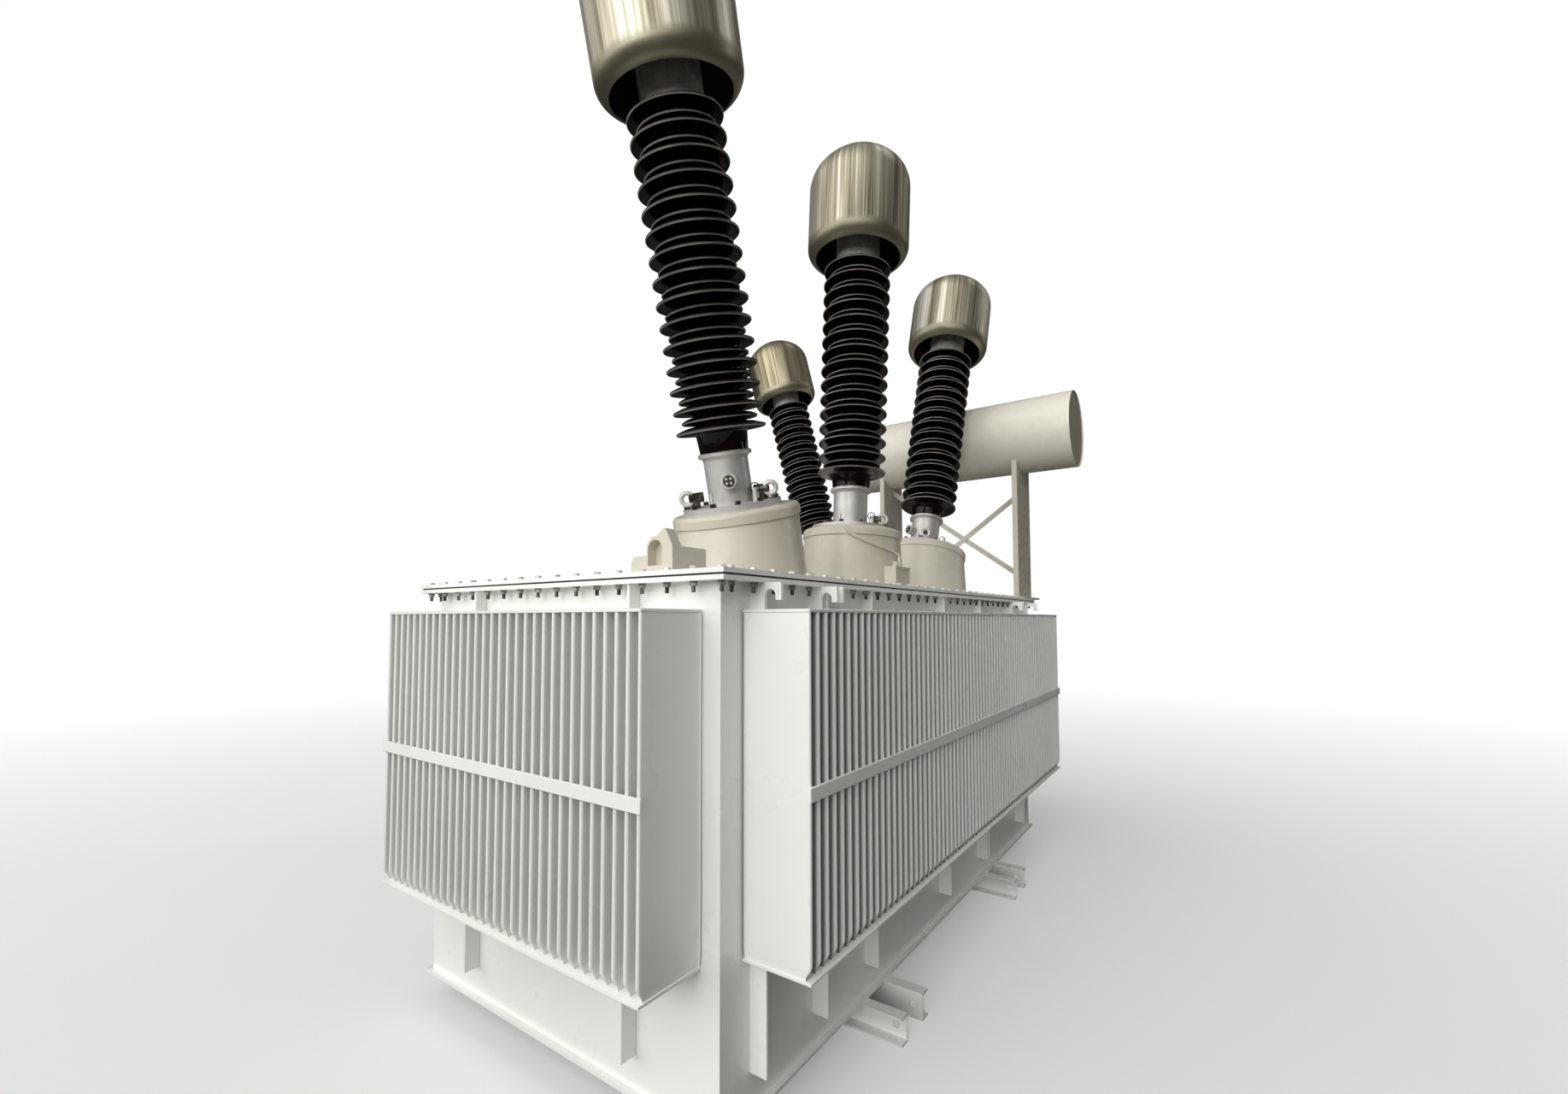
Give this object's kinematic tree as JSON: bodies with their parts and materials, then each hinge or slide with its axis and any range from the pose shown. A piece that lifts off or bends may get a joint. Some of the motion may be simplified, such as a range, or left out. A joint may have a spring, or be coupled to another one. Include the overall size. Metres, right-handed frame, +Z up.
{
  "type": "power transformer",
  "caption": "Oil-filled power transformer: finned tank on skid channels, leaning porcelain bushings with corona shields, conservator on posts.",
  "frame": {"origin": "on the floor under the middle of the whole footprint, conservator and bushings included", "axes": "+Z up; +X along the long side of the tank towards the conservator; -Y the long side in view"},
  "size_m": [3.871, 2.3089, 4.1166],
  "materials": {
    "tank_paint": "gloss",
    "turret_paint": "satin",
    "gasket_rubber": "matte",
    "foot_metal": "satin",
    "brown_glaze": "gloss",
    "spun_aluminium": "satin"
  },
  "bodies": {
    "root": {"base_plate": "tank_paint", "tank_body": "tank_paint", "tank_flange": "tank_paint", "tank_cover": "tank_paint", "cover_gasket": "gasket_rubber", "cooling_wall_front": "tank_paint", "wall_ribs_front": "tank_paint", "cooling_wall_back": "tank_paint", "wall_ribs_back": "tank_paint", "cooling_wall_left": "tank_paint", "wall_ribs_left": "tank_paint", "cooling_wall_right": "tank_paint", "wall_ribs_right": "tank_paint", "lifting_lugs_front": "tank_paint", "lifting_lugs_back": "tank_paint", "skid_channel_left_outer": "tank_paint", "skid_channel_left_inner": "tank_paint", "skid_channel_right_outer": "tank_paint", "skid_channel_right_inner": "tank_paint", "turret_body_left": "turret_paint", "turret_lid_left": "turret_paint", "bushing_foot_left": "foot_metal", "porcelain_left": "brown_glaze", "bushing_head_left": "foot_metal", "corona_shield_left": "spun_aluminium", "turret_body_middle": "turret_paint", "turret_lid_middle": "turret_paint", "bushing_foot_middle": "foot_metal", "porcelain_middle": "brown_glaze", "bushing_head_middle": "foot_metal", "corona_shield_middle": "spun_aluminium", "turret_body_right": "turret_paint", "turret_lid_right": "turret_paint", "bushing_foot_right": "foot_metal", "porcelain_right": "brown_glaze", "bushing_head_right": "foot_metal", "corona_shield_right": "spun_aluminium", "turret_body_rear": "turret_paint", "turret_lid_rear": "turret_paint", "bushing_foot_rear": "foot_metal", "porcelain_rear": "brown_glaze", "bushing_head_rear": "foot_metal", "corona_shield_rear": "spun_aluminium", "conservator_shell": "turret_paint", "conservator_cap_front": "turret_paint", "conservator_cap_back": "turret_paint", "conservator_post_front": "turret_paint", "conservator_post_rear": "turret_paint", "brace_falling": "turret_paint", "brace_rising": "turret_paint", "relief_hood": "turret_paint", "valve_box": "turret_paint", "terminal_box": "turret_paint", "test_tap_left": "foot_metal", "test_tap_right": "foot_metal"}
  },
  "joints": []
}
